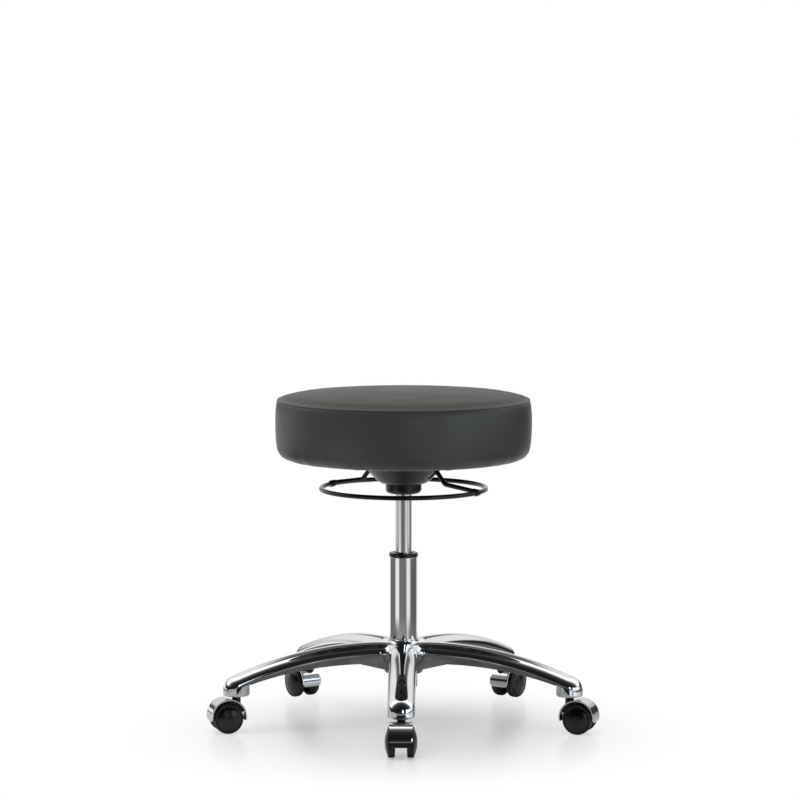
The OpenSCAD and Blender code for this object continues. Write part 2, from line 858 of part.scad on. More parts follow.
// One wheel, turned about the axle; side is 1 for the left wheel and -1 for the right
module wheel(k, side) {
    r = wheel_d / 2;
    rim_r = r - tread_round;
    web_in = wheel_in + wheel_w * wheel_web_share;
    hollow_r = r * wheel_rim_share;
    color(black_plastic) at_caster(k) on_axle() mirror([0, 0, side > 0 ? 1 : 0]) turned(concat(
        [[axle_d / 2 + fit, wheel_in], [axle_d, wheel_in], [axle_d, web_in], [hollow_r, web_in]],
        [[hollow_r, wheel_in]],
        arc(rim_r, wheel_in + tread_round, tread_round, -90, 0, 4),
        arc(rim_r, wheel_out - dome_h - tread_round, tread_round, 0, 90, 4),
        [for (i = [1:6]) let (s = 1 - i / 6, e = rim_r - dome_rim)
            [e * s, wheel_out - dome_h * pow(s, 2)]],
        [[0, axle_half + run_gap], [axle_d / 2 + fit, axle_half + run_gap]]
    ));
}

module wheel_left(k) {
    wheel(k, 1);
}

module wheel_right(k) {
    wheel(k, -1);
}

base_casting();
column_tube();
guide_bush();
lower_washer();
ball_cage();
thrust_balls();
caster_stems();
grip_rings();
piston_rod();
piston_head();
upper_washer();
lift_bumper();
retaining_clip();
pressure_tube();
rod_guide();
valve_block();
valve_button();
taper_socket();
support_pan();
lift_collar();
seat_plate();
fulcrum_tabs();
seat_board();
seat_foam();
seat_cover();
dust_cover();
seat_bolts();
bolt_washers();
tee_nuts();
release_ring();
release_lever();
ring_clips();
for (k = [1:arm_count]) {
    caster_frame(k);
    caster_hood(k);
    caster_axle(k);
    wheel_left(k);
    wheel_right(k);
}
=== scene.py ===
import math
import random

import bmesh
import bpy
from mathutils import Matrix, Vector, noise


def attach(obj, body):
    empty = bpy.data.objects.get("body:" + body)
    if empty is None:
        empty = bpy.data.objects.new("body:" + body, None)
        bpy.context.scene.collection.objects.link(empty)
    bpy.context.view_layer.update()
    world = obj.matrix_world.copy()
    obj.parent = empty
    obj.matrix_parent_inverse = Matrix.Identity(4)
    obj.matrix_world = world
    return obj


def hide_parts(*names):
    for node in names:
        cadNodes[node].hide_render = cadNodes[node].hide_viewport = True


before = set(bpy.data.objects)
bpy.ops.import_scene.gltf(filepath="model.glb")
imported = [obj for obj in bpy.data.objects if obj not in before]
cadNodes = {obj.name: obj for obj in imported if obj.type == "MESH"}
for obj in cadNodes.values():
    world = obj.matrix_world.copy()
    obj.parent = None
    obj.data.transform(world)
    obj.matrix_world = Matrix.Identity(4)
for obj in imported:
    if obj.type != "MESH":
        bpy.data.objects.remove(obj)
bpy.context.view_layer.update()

scene = bpy.context.scene
scene.view_settings.view_transform = "Standard"
mm = 0.001
up = Vector((0, 0, 1))


def newMaterial(name):
    mat = bpy.data.materials.new(name)
    mat.use_nodes = True
    return mat, mat.node_tree


def feed(tree, node, inputs):
    # gives each input its value, or a link where the value is a socket of another node
    for socket, value in inputs.items():
        if isinstance(value, bpy.types.NodeSocket):
            tree.links.new(value, node.inputs[socket])
        else:
            node.inputs[socket].default_value = value


def addNode(tree, kind, inputs={}, **settings):
    node = tree.nodes.new("ShaderNode" + kind)
    for name, value in settings.items():
        setattr(node, name, value)
    feed(tree, node, inputs)
    return node


def addMath(tree, operation, *values):
    return addNode(tree, "Math", dict(enumerate(values)), operation=operation).outputs[0]


def addSpan(tree, value, start, end, low=0, high=1, soft=False):
    # takes start..end to low..high, with eased ends if soft
    inputs = {"Value": value, "From Min": start, "From Max": end, "To Min": low, "To Max": high}
    kind = "SMOOTHSTEP" if soft else "LINEAR"
    return addNode(tree, "MapRange", inputs, interpolation_type=kind).outputs["Result"]


def addMix(tree, share, a, b, kind="RGBA"):
    return addNode(tree, "Mix", {"Factor": share, "A": a, "B": b}, data_type=kind).outputs["Result"]


def mixShaders(tree, share, first, second):
    return addNode(tree, "MixShader", {"Fac": share, 1: first, 2: second}).outputs[0]


def addLength(tree, vector):
    return addNode(tree, "VectorMath", {0: vector}, operation="LENGTH").outputs["Value"]


def addGroup(name, numbers, output):
    # a node group with a vector and some numbers going in and one number coming out
    tree = bpy.data.node_groups.new(name, "ShaderNodeTree")
    tree.interface.new_socket("Vector", in_out="INPUT", socket_type="NodeSocketVector")
    for label in numbers:
        tree.interface.new_socket(label, in_out="INPUT", socket_type="NodeSocketFloat")
    tree.interface.new_socket(output, in_out="OUTPUT", socket_type="NodeSocketFloat")
    given = tree.nodes.new("NodeGroupInput").outputs
    return tree, given, tree.nodes.new("NodeGroupOutput").inputs[output]


def makeGrainGroup():
    # fine relief: small pebbles from cells, broken up by noise
    tree, given, height = addGroup("surfaceGrain", ["Scale", "Pebble"], "Height")
    place = {"Vector": given["Vector"], "Scale": given["Scale"]}
    cells = addNode(tree, "TexVoronoi", place, feature="DISTANCE_TO_EDGE")
    fine = addNode(tree, "TexNoise", {**place, "Detail": 4})
    domes = addSpan(tree, cells.outputs["Distance"], 0, 0.35, soft=True)
    tree.links.new(addMix(tree, given["Pebble"], fine.outputs["Fac"], domes, "FLOAT"), height)
    return tree


def makePatchGroup():
    # slow variation for handling marks, uneven plating and faded places
    tree, given, mask = addGroup("softPatches", ["Scale"], "Mask")
    slow = addNode(tree, "TexNoise", {"Vector": given["Vector"], "Scale": given["Scale"], "Detail": 3,
                                      "Distortion": 0.6})
    tree.links.new(addSpan(tree, slow.outputs["Fac"], 0.3, 0.7), mask)
    return tree


def makeDustGroup():
    # thin dust on faces that look up
    tree, given, mask = addGroup("settledDust", ["Amount"], "Mask")
    normal = addNode(tree, "NewGeometry").outputs["Normal"]
    rise = addNode(tree, "SeparateXYZ", {0: normal}).outputs["Z"]
    specks = addNode(tree, "TexNoise", {"Vector": given["Vector"], "Scale": 160, "Detail": 6})
    cover = addMath(tree, "MULTIPLY", addSpan(tree, rise, 0.3, 1), specks.outputs["Fac"])
    tree.links.new(addMath(tree, "MULTIPLY", cover, given["Amount"]), mask)
    return tree


grainGroup = makeGrainGroup()
patchGroup = makePatchGroup()
dustGroup = makeDustGroup()


def srgb(*levels):
    return tuple((v / 255 / 12.92 if v < 11 else ((v / 255 + 0.055) / 1.055) ** 2.4) for v in levels) + (1.0,)


dustColour = srgb(176, 172, 164)


def makeFinish(name, look):
    mat, tree = newMaterial(name)
    place = addNode(tree, "TexCoord").outputs["Object"]
    mapping = addNode(tree, "Mapping", {"Vector": place, "Scale": look.get("stretch", (1, 1, 1))})
    mapped = mapping.outputs["Vector"]
    patches = {"Vector": mapped, "Scale": look["patchScale"]}
    worn = addNode(tree, "Group", patches, node_tree=patchGroup).outputs["Mask"]
    colour = addMix(tree, worn, look["colour"], look.get("colourWorn", look["colour"]))
    if "dust" in look:
        dust = addNode(tree, "Group", {"Vector": place, "Amount": look["dust"]}, node_tree=dustGroup)
        colour = addMix(tree, dust.outputs["Mask"], colour, dustColour)
    surface = {"Base Color": colour, "Metallic": look.get("metal", 0),
               "Roughness": addSpan(tree, worn, 0, 1, look["rough"], look.get("roughWorn", look["rough"])),
               "Specular IOR Level": look.get("specular", 0.5)}
    if "grainDepth" in look:
        cells = {"Vector": mapped, "Scale": look["grainScale"], "Pebble": look.get("pebble", 0.5)}
        grain = addNode(tree, "Group", cells, node_tree=grainGroup).outputs["Height"]
        bump = addNode(tree, "Bump", {"Distance": look["grainDepth"] * mm, "Height": grain})
        surface["Normal"] = bump.outputs["Normal"]
    feed(tree, tree.nodes["Principled BSDF"], surface)
    return mat


finishes = {
    "chrome": dict(colour=(0.78, 0.79, 0.80, 1), colourWorn=(0.74, 0.75, 0.76, 1), metal=1, rough=0.035,
                   roughWorn=0.075, patchScale=18),
    "castChrome": dict(colour=(0.30, 0.30, 0.29, 1), colourWorn=(0.22, 0.22, 0.215, 1), metal=1, rough=0.34,
                       roughWorn=0.46, patchScale=30, grainScale=420, grainDepth=0.5, pebble=0.35, dust=0.12),
    "bossSatin": dict(colour=(0.72, 0.72, 0.70, 1), colourWorn=(0.60, 0.60, 0.58, 1), metal=1, rough=0.26,
                      roughWorn=0.36, patchScale=60, grainScale=500, grainDepth=0.12, pebble=0.3),
    "tubeChrome": dict(colour=(0.80, 0.80, 0.81, 1), colourWorn=(0.76, 0.76, 0.77, 1), metal=1, rough=0.04,
                       roughWorn=0.085, patchScale=22, stretch=(1, 1, 0.25)),
    "vinyl": dict(colour=srgb(65, 66, 62), colourWorn=srgb(62, 63, 60), rough=0.36, roughWorn=0.41,
                  patchScale=9, grainScale=1150, grainDepth=0.045, pebble=0.65, dust=0.02, specular=0.42),
    "thread": dict(colour=srgb(84, 84, 78), rough=0.6, patchScale=14, grainScale=2500, grainDepth=0.05),
    "panPaint": dict(colour=srgb(17, 18, 20), colourWorn=srgb(24, 25, 27), rough=0.24, roughWorn=0.34,
                     patchScale=30, grainScale=700, grainDepth=0.05, dust=0.04),
    "wireGloss": dict(colour=srgb(10, 10, 11), rough=0.14, roughWorn=0.22, patchScale=40, grainScale=500,
                      grainDepth=0.03, dust=0.03),
    "collarPlastic": dict(colour=srgb(12, 12, 13), rough=0.16, roughWorn=0.24, patchScale=40, grainScale=1500,
                          grainDepth=0.02),
    "wheelTread": dict(colour=srgb(9, 9, 9), colourWorn=srgb(14, 14, 13), rough=0.42, roughWorn=0.55,
                       patchScale=60, grainScale=1300, grainDepth=0.08, dust=0.03),
    "wheelFace": dict(colour=srgb(4, 4, 4), colourWorn=srgb(6, 6, 6), rough=0.18, roughWorn=0.25,
                      patchScale=50, grainScale=1600, grainDepth=0.03, dust=0.006),
    "framePlastic": dict(colour=srgb(14, 14, 14), colourWorn=srgb(20, 20, 19), rough=0.42, roughWorn=0.5,
                         patchScale=60, grainScale=1400, grainDepth=0.06),
    "brightSteel": dict(colour=(0.60, 0.60, 0.61, 1), colourWorn=(0.50, 0.50, 0.51, 1), metal=1, rough=0.22,
                        roughWorn=0.36, patchScale=60, grainScale=900, grainDepth=0.03),
    "plywood": dict(colour=srgb(196, 160, 112), colourWorn=srgb(168, 130, 86), rough=0.62, roughWorn=0.75,
                    patchScale=26, stretch=(0.15, 1, 6), grainScale=300, grainDepth=0.2, pebble=0.1),
    "dustCloth": dict(colour=srgb(22, 22, 22), colourWorn=srgb(34, 34, 33), rough=0.85, roughWorn=0.95,
                      patchScale=18, grainScale=1500, grainDepth=0.25, pebble=0.2),
    "rubber": dict(colour=srgb(20, 20, 20), colourWorn=srgb(30, 30, 29), rough=0.7, roughWorn=0.8,
                   patchScale=40, grainScale=900, grainDepth=0.05),
}
materials = {name: makeFinish(name, look) for name, look in finishes.items()}
print("materials:", len(materials))


def placed(name, bm, mats=()):
    # turns a bmesh into an object of the scene
    mesh = bpy.data.meshes.new(name)
    bm.to_mesh(mesh)
    bm.free()
    for mat in mats:
        mesh.materials.append(mat)
    piece = bpy.data.objects.new(name, mesh)
    scene.collection.objects.link(piece)
    return piece


def shade(mesh, sharp):
    mesh.shade_smooth()
    mesh.set_sharp_from_angle(angle=math.radians(sharp))


def keep(name, bm, finish, body, replaces=(), sharp=35, dist=1e-6):
    bmesh.ops.remove_doubles(bm, verts=bm.verts, dist=dist)
    bmesh.ops.recalc_face_normals(bm, faces=bm.faces)
    names = [finish] if isinstance(finish, str) else finish
    piece = placed(name, bm, [materials[n] for n in names])
    shade(piece.data, sharp)
    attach(piece, body)
    if replaces:
        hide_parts(*replaces)
    return piece


def spot(x, y, z):
    return Vector((x, y, z)) * mm


def moved(x, y, z):
    return Matrix.Translation(spot(x, y, z))


def turnedBy(degrees, half=0):
    # turn about Z, on the other side of the stool if half is 1
    return Matrix.Rotation(math.radians(degrees) + half * math.pi, 4, "Z")


def bevelEdges(bm, edges, width, segments):
    bmesh.ops.bevel(bm, geom=edges, offset=width * mm, segments=segments, affect="EDGES", profile=0.5,
                    material=-1)


def rounded(corners):
    # (across, along, fillet) corners to a smooth profile
    points = []
    for i, (x, z, fillet) in enumerate(corners):
        here = Vector((x, z))
        if fillet == 0 or i in (0, len(corners) - 1):
            points.append(here)
            continue
        a = (Vector(corners[i - 1][:2]) - here).normalized()
        b = (Vector(corners[i + 1][:2]) - here).normalized()
        half = a.angle(b) / 2
        back = fillet / math.tan(half)
        centre = here + (a + b).normalized() * (fillet / math.sin(half))
        start, end = here + a * back - centre, here + b * back - centre
        steps = max(3, round(math.degrees(start.angle(end)) / 11))
        turn = start.angle_signed(end)
        for k in range(steps + 1):
            c, s = math.cos(-turn * k / steps), math.sin(-turn * k / steps)
            points.append(centre + Vector((c * start.x - s * start.y, s * start.x + c * start.y)))
    return points


def turned(corners, steps=128, closed=True):
    # spins a profile about Z, with a short step at each end of a long straight so that it shades straight
    line = rounded(corners)
    points = [line[0]]
    for a, b in zip(line, line[1:]):
        gap = (b - a).length
        if gap > 3:
            points += [a.lerp(b, 0.5 / gap), b.lerp(a, 0.5 / gap)]
        points.append(b)
    bm = bmesh.new()
    verts = [bm.verts.new((p.x * mm, 0, p.y * mm)) for p in points]
    edges = [bm.edges.new(pair) for pair in zip(verts, verts[1:])]
    if closed and (verts[0].co - verts[-1].co).length > 1e-6:
        edges.append(bm.edges.new((verts[-1], verts[0])))
    bmesh.ops.spin(bm, geom=verts + edges, cent=(0, 0, 0), axis=up, angle=math.tau, steps=steps,
                   use_merge=True)
    bmesh.ops.remove_doubles(bm, verts=bm.verts, dist=1e-6)
    return bm


def wire(path, bend, radius, sides=24):
    # round wire along a flat path with rounded bends
    bm = bmesh.new()
    path = [Vector(p) * mm for p in path]
    bend, radius = bend * mm, radius * mm
    heading = (path[1] - path[0]).normalized()
    ring = bmesh.ops.create_circle(bm, segments=sides, radius=radius, cap_ends=True)["verts"]
    turn = up.rotation_difference(heading).to_matrix().to_4x4()
    bmesh.ops.transform(bm, verts=ring, matrix=Matrix.Translation(path[0]) @ turn)
    edges = bm.edges[:]
    at = path[0]
    for i in range(1, len(path)):
        last = i == len(path) - 1
        stop = path[i]
        if not last:
            after = (path[i + 1] - path[i]).normalized()
            angle = heading.angle(after)
            stop = path[i] - heading * bend * math.tan(angle / 2)
        grown = bmesh.ops.extrude_edge_only(bm, edges=edges)["geom"]
        rim = [g for g in grown if isinstance(g, bmesh.types.BMVert)]
        bmesh.ops.translate(bm, verts=rim, vec=stop - at)
        edges = [g for g in grown if isinstance(g, bmesh.types.BMEdge) and all(v in rim for v in g.verts)]
        if not last:
            axis = heading.cross(after).normalized()
            centre = stop + axis.cross(heading) * bend
            spun = bmesh.ops.spin(bm, geom=edges + rim, cent=centre, axis=axis, angle=angle, steps=8)
            edges = [g for g in spun["geom_last"] if isinstance(g, bmesh.types.BMEdge)]
            at = path[i] + after * bend * math.tan(angle / 2)
            heading = after
    bmesh.ops.contextual_create(bm, geom=edges)
    return bm


def joined(target, source, matrix=Matrix.Identity(4)):
    mesh = bpy.data.meshes.new("part")
    source.to_mesh(mesh)
    mesh.transform(matrix)
    target.from_mesh(mesh)
    bpy.data.meshes.remove(mesh)


def applied(piece):
    # puts the result of a piece's modifiers into its mesh
    graph = bpy.context.evaluated_depsgraph_get()
    done = bpy.data.meshes.new_from_object(piece.evaluated_get(graph), depsgraph=graph)
    old = piece.data
    piece.modifiers.clear()
    piece.data = done
    bpy.data.meshes.remove(old)


def carve(piece, cutter):
    # cuts a bmesh shape out of a piece
    bmesh.ops.recalc_face_normals(cutter, faces=cutter.faces)
    tool = placed("cutter", cutter)
    cut = piece.modifiers.new("cut", "BOOLEAN")
    cut.operation = "DIFFERENCE"
    cut.solver = "EXACT"
    cut.object = tool
    bpy.context.view_layer.update()
    applied(piece)
    mesh = tool.data
    bpy.data.objects.remove(tool)
    bpy.data.meshes.remove(mesh)


def softened(piece, width, segments, sharp):
    # rounds the hard edges of a carved piece
    edge = piece.modifiers.new("edge", "BEVEL")
    edge.width, edge.segments = width * mm, segments
    edge.limit_method, edge.angle_limit = "ANGLE", math.radians(50)
    applied(piece)
    shade(piece.data, sharp)


def block(size, centre, turn=Matrix.Identity(4)):
    bm = bmesh.new()
    bmesh.ops.create_cube(bm, size=1)
    bmesh.ops.scale(bm, verts=bm.verts, vec=spot(*size))
    bmesh.ops.transform(bm, verts=bm.verts, matrix=turn @ moved(*centre))
    return bm


def dress(names, finish):
    for name in names:
        for place in cadNodes[name].material_slots:
            place.material = materials[finish]


base = dict(arms=5, stemR=299, armW=44.5, flare=4.5, bowR=655, peakZ=142.5, peakR=60, fanR=90, fanOver=80,
            edgeH=17.9, bandH=18.5, skin=4, fillet=13, proud=0.6, hubR=24.05, boreGap=0.2, collarR=31,
            collarUp=5, bossR=22.65, bossFloor=62.5, bossRound=3.2, sinkFrom=17.6, sinkOver=5, sinkBy=2.6,
            skirtZ=66, skirtFrom=-7, skirtOver=15, noseR=12, noseGap=1)


def armTop(r):
    return base["peakZ"] - base["bowR"] + math.sqrt(base["bowR"] ** 2 - (r - base["peakR"]) ** 2)


def alongArm(v):
    # distance along the nearest arm, its top line there, and distance from its stem
    r = math.hypot(v.co.x, v.co.y) / mm
    step = 360 / base["arms"]
    around = math.radians((math.degrees(math.atan2(v.co.y, v.co.x)) + 90 + step / 2) % step - step / 2)
    along, aside = r * math.cos(around), r * math.sin(around)
    share = min(1, max(0, (r - base["fanR"]) / base["fanOver"]))
    return along, armTop(r + (along - r) * share), math.hypot(along - base["stemR"], aside)


def noseTop(along, line, away, inward):
    # top of the nose: the arm's line, rolled over tighter and tighter towards its front
    past = (along - base["stemR"]) / away
    roll = base["noseR"] + (base["armW"] / 2 - base["noseR"]) * (1 - past ** 2)
    near = max(0, 1 - max(0, inward) / roll)
    return line - base["edgeH"] * (1 - math.sqrt(1 - near ** 2))


def starOutline(grow):
    # half of one arm's outline, mirrored and turned round the hub
    bm = bmesh.new()
    tip = base["armW"] / 2 + grow
    root = tip + base["flare"] / 2
    slope = (root - tip) / base["stemR"]
    long = math.sqrt(1 + slope ** 2)
    half = math.pi / base["arms"]
    reach = (root + base["fillet"] * long) / (slope * math.cos(half) + math.sin(half))
    centre = Vector((reach * math.cos(half), reach * math.sin(half), 0)) * mm
    touch = centre - Vector((slope, 1, 0)).normalized() * base["fillet"] * mm
    start = bm.verts.new(touch)
    end = bm.verts.new(spot(base["stemR"], tip, 0))
    side = bm.edges.new((start, end))
    sweep = math.pi / 2 - half - math.atan(slope)
    bmesh.ops.spin(bm, geom=[start], cent=centre, axis=up, angle=-sweep, steps=20)
    bmesh.ops.spin(bm, geom=[end], cent=spot(base["stemR"], 0, 0), axis=up, angle=-math.pi / 2, steps=28)
    bmesh.ops.subdivide_edges(bm, edges=[side], cuts=59)
    bmesh.ops.mirror(bm, geom=bm.verts[:] + bm.edges[:], axis="Y", merge_dist=1e-5)
    bmesh.ops.rotate(bm, verts=bm.verts, cent=(0, 0, 0), matrix=Matrix.Rotation(-math.pi / 2, 3, "Z"))
    bmesh.ops.spin(bm, geom=bm.verts[:] + bm.edges[:], cent=(0, 0, 0), axis=up, angle=math.tau,
                   steps=base["arms"], use_duplicate=True)
    bmesh.ops.remove_doubles(bm, verts=bm.verts, dist=2e-5)
    bmesh.ops.contextual_create(bm, geom=bm.edges)
    return bm


def makeArms():
    # polished skin over all five arms: a flat side band with a rounded upper edge
    s = base
    bm = starOutline(s["proud"])
    lower = max(bm.faces, key=lambda f: len(f.verts))
    if lower.normal.z < 0:
        lower.normal_flip()
    for v in lower.verts:
        v.co.z = -(s["bandH"] + s["proud"]) * mm
    grown = bmesh.ops.extrude_face_region(bm, geom=[lower])["geom"]
    upper = next(g for g in grown if isinstance(g, bmesh.types.BMFace))
    wide, high, steps, done = s["armW"] / 2, s["edgeH"], 18, 0.0
    for v in upper.verts:
        v.co.z = -high * mm
    for i in range(1, steps):
        a = math.radians(90 * i / steps)
        inward, drop = wide * (1 - math.cos(a)), high * (1 - math.sin(a))
        bmesh.ops.inset_region(bm, faces=[upper], thickness=(inward - done) * mm, use_even_offset=True,
                               use_boundary=True)
        for v in upper.verts:
            v.co.z = -drop * mm
        done = inward
    # the top is filled round the column, which stands in an open bore
    outline = upper.edges[:]
    level = upper.verts[0].co.z
    bmesh.ops.delete(bm, geom=[upper], context="FACES_ONLY")
    bore = bmesh.ops.create_circle(bm, segments=96, radius=(s["hubR"] + s["boreGap"]) * mm)["verts"]
    bmesh.ops.translate(bm, verts=bore, vec=(0, 0, level))
    rim = [e for e in bm.edges if e.verts[0] in bore and e.verts[1] in bore]
    bmesh.ops.triangle_fill(bm, edges=outline + rim, use_beauty=True, use_dissolve=False, normal=up)
    bmesh.ops.inset_region(bm, faces=[lower], thickness=s["skin"] * mm, use_even_offset=True,
                           use_boundary=True)
    bmesh.ops.delete(bm, geom=[lower], context="FACES_ONLY")
    for v in bm.verts:
        along, line, away = alongArm(v)
        drop = -v.co.z / mm
        z = line - drop
        if along > s["stemR"] and drop < s["bandH"]:
            inward = wide * (1 - math.sqrt(1 - (1 - min(drop, high) / high) ** 2))
            z = noseTop(along, line, away, inward)
        elif drop >= s["bandH"]:
            share = min(1, max(0, (along - s["stemR"] - s["skirtFrom"]) / s["skirtOver"]))
            z += (s["skirtZ"] - z) * share * share * (3 - 2 * share)
        v.co.z = (z + s["proud"]) * mm
    keep("armPolish", bm, "chrome", "root", sharp=50)


def makeCastBody():
    # the casting under the polished skin, with satin bosses that have a rounded lower edge
    s = base
    bm = bmesh.new()
    bm.from_mesh(cadNodes["base_casting"].data)
    bmesh.ops.remove_doubles(bm, verts=bm.verts, dist=1e-5)
    rim = [v for v in bm.verts if abs(v.co.z / mm - s["bossFloor"]) < 0.05
           and abs(alongArm(v)[2] - s["bossR"]) < 0.1]
    edges = [e for e in bm.edges if e.verts[0] in rim and e.verts[1] in rim and e.calc_face_angle(0) > 0.5]
    bevelEdges(bm, edges, s["bossRound"], 4)
    for v in bm.verts:
        along, line, away = alongArm(v)
        depth = line - v.co.z / mm
        sink = min(1, max(0, (s["sinkFrom"] - depth) / s["sinkOver"]))
        v.co.z -= s["sinkBy"] * sink * mm
        if along > s["stemR"] and away < s["armW"]:
            inward = s["armW"] / 2 + s["proud"] - away
            v.co.z = min(v.co.z, (noseTop(along, line, away, inward) - s["noseGap"]) * mm)
    for f in bm.faces:
        if all(alongArm(v)[2] < s["bossR"] + 0.1 for v in f.verts):
            f.material_index = 1
    keep("castBody", bm, ["castChrome", "bossSatin"], "root", ["base_casting"], sharp=34)


def makeHubCollar():
    bore, wide, rise = base["hubR"], base["collarR"], base["collarUp"]
    neck, top = bore + 1.7, armTop(wide) + base["proud"]
    bm = turned([(bore, top - 9, 0), (wide, top - 9, 0), (wide - 0.4, top - 1.2, 0),
                 (neck, top - 0.4, rise - 0.4), (neck, top + rise + 0.6, 0.5), (bore, top + rise + 0.6, 0)],
                steps=160)
    keep("hubCollar", bm, "chrome", "root", sharp=60)


makeArms()
makeCastBody()
makeHubCollar()
print("base done")

lift = dict(columnR=24, columnWall=2, columnFloor=63, floorT=3, rodHole=4.05, columnTop=290, capR=25, capH=7,
            bushLong=68, play=0.05, tubeR=14, tubeWall=1.6, tubeFloor=190, tubeTop=440.9)


def makeLift():
    s = lift
    outer, inner, hole = s["columnR"], s["columnR"] - s["columnWall"], s["rodHole"]
    floor, rim = s["columnFloor"], s["columnTop"]
    column = turned([(hole, floor, 0.3), (outer, floor, 1.5), (outer, rim, 0.6), (inner, rim, 0.6),
                     (inner, floor + s["floorT"], 1), (hole, floor + s["floorT"], 0.3)], steps=160)
    keep("columnTube", column, "tubeChrome", "root", ["column_tube"], sharp=40)
    r, low, top = s["tubeR"], rim - s["bushLong"], rim + s["capH"]
    bore, skirt = r + s["play"], inner - s["play"]
    bush = turned([(bore, low, 0.3), (skirt, low, 1), (skirt, rim + 0.02, 0), (s["capR"], rim + 0.02, 0.7),
                   (s["capR"], top, 2.2), (r + 2.6, top, 0.6), (r + 2.2, top - 1.2, 0.4),
                   (bore, top - 1.4, 0.2)])
    keep("guideCap", bush, "collarPlastic", "root", ["guide_bush"], sharp=40)
    wall, low, top = r - s["tubeWall"], s["tubeFloor"], s["tubeTop"]
    tube = turned([(wall, low, 0.3), (r, low, 1.2), (r, top, 1.2), (wall, top, 0.3)])
    keep("pressureTube", tube, "tubeChrome", "seat", ["pressure_tube"], sharp=40)


makeLift()
dress(["lower_washer", "ball_cage", "thrust_balls", "upper_washer", "retaining_clip", "piston_rod",
       "piston_head", "valve_block", "valve_button", "caster_stems", "grip_rings", "seat_bolts",
       "bolt_washers", "tee_nuts"], "brightSteel")
dress(["lift_bumper"], "rubber")
dress(["rod_guide"], "collarPlastic")
print("lift done")

mechanismTurn = -28
pan = dict(floor=417.9, lip=453.2, top=455.2, innerR=19.2, floorR=39, bend=46, bendZ=422.4, flange=9, wall=2,
           slotW=11, slotZ=426.4, slotLong=60, slotIn=2, slotRound=2)


def makePan():
    s = pan
    floor, deck, bend, lip, top = s["floor"], s["floor"] + s["wall"], s["bend"], s["lip"], s["top"]
    rim = bend + lip - s["bendZ"]
    slant = s["wall"] / math.sqrt(2)
    bm = turned([(s["innerR"], floor, 0.4), (s["floorR"], floor, 3), (bend, s["bendZ"], 2), (rim, lip, 2.5),
                 (rim + s["flange"], lip, 0.6), (rim + s["flange"], top, 0.6), (rim - slant, top, 1.5),
                 (bend - slant, s["bendZ"] + slant, 3), (s["floorR"] - 0.5, deck, 1.5),
                 (s["innerR"], deck, 0.4)], steps=160)
    piece = keep("supportPan", bm, "panPaint", "seat", ["support_pan"], sharp=32)
    height = lip - s["slotZ"] - 0.5
    centre = (bend - s["slotIn"] + s["slotLong"] / 2, 0, s["slotZ"] + height / 2)
    for half in (0, 1):
        box = block((s["slotLong"], s["slotW"], height), centre, turnedBy(mechanismTurn, half))
        long = [e for e in box.edges if e.calc_length() > (s["slotLong"] - 5) * mm]
        bevelEdges(box, long, s["slotRound"], 4)
        carve(piece, box)
    softened(piece, 0.35, 2, 38)


collar = dict(bore=14.1, sleeve=17.1, inner=28, outer=31, low=399.9, web=402.9, deck=404, top=417.85)


def makeCollar():
    bore, sleeve, inner, outer, low, web, deck, top = collar.values()
    bm = turned([(bore, low, 0.4), (outer, low, 7), (outer, top, 0.6), (inner, top, 0.4), (inner, deck, 3),
                 (sleeve, web, 0.4), (sleeve, top, 0.4), (bore, top, 0.4)])
    keep("liftCollar", bm, "collarPlastic", "seat", ["lift_collar"], sharp=40)


makePan()
makeCollar()
dress(["seat_plate", "fulcrum_tabs", "taper_socket"], "panPaint")
dress(["seat_board"], "plywood")
dress(["dust_cover"], "dustCloth")

ring = dict(r=142, wire=8, z=408, path=[(44, 446.9), (60, 446.9), (81, 419.4), (140.5, 410.2)], bend=9,
            bar=(104, 24, 5), barZ=448.4, clipR=5.9, clipLong=12.5, clipBore=4.05, clipUp=0.4,
            noseAt=(1, 1.4), noseR=5.2, noseTilt=-82)


def makeRing():
    s = ring
    bm = bmesh.new()
    hoop = bmesh.ops.create_circle(bm, segments=28, radius=s["wire"] / 2 * mm)["verts"]
    bmesh.ops.rotate(bm, verts=hoop, cent=(0, 0, 0), matrix=Matrix.Rotation(math.pi / 2, 3, "X"))
    bmesh.ops.translate(bm, verts=hoop, vec=spot(s["r"], 0, s["z"]))
    bmesh.ops.spin(bm, geom=bm.verts[:] + bm.edges[:], cent=(0, 0, 0), axis=up, angle=math.tau, steps=192,
                   use_merge=True)
    keep("releaseRing", bm, "wireGloss", "release", ["release_ring"], sharp=60)


def makeLever():
    # the bar and the two bent spokes that carry the ring
    s = ring
    whole = block(s["bar"], (0, 0, s["barZ"]))
    bevelEdges(whole, whole.edges[:], 0.7, 2)
    arm = wire([(r, 0, z) for r, z in s["path"]], s["bend"], s["wire"] / 2)
    for half in (0, 1):
        joined(whole, arm, turnedBy(0, half))
    arm.free()
    bmesh.ops.transform(whole, verts=whole.verts, matrix=turnedBy(mechanismTurn))
    keep("releaseLever", whole, "wireGloss", "release", ["release_lever"], sharp=40)


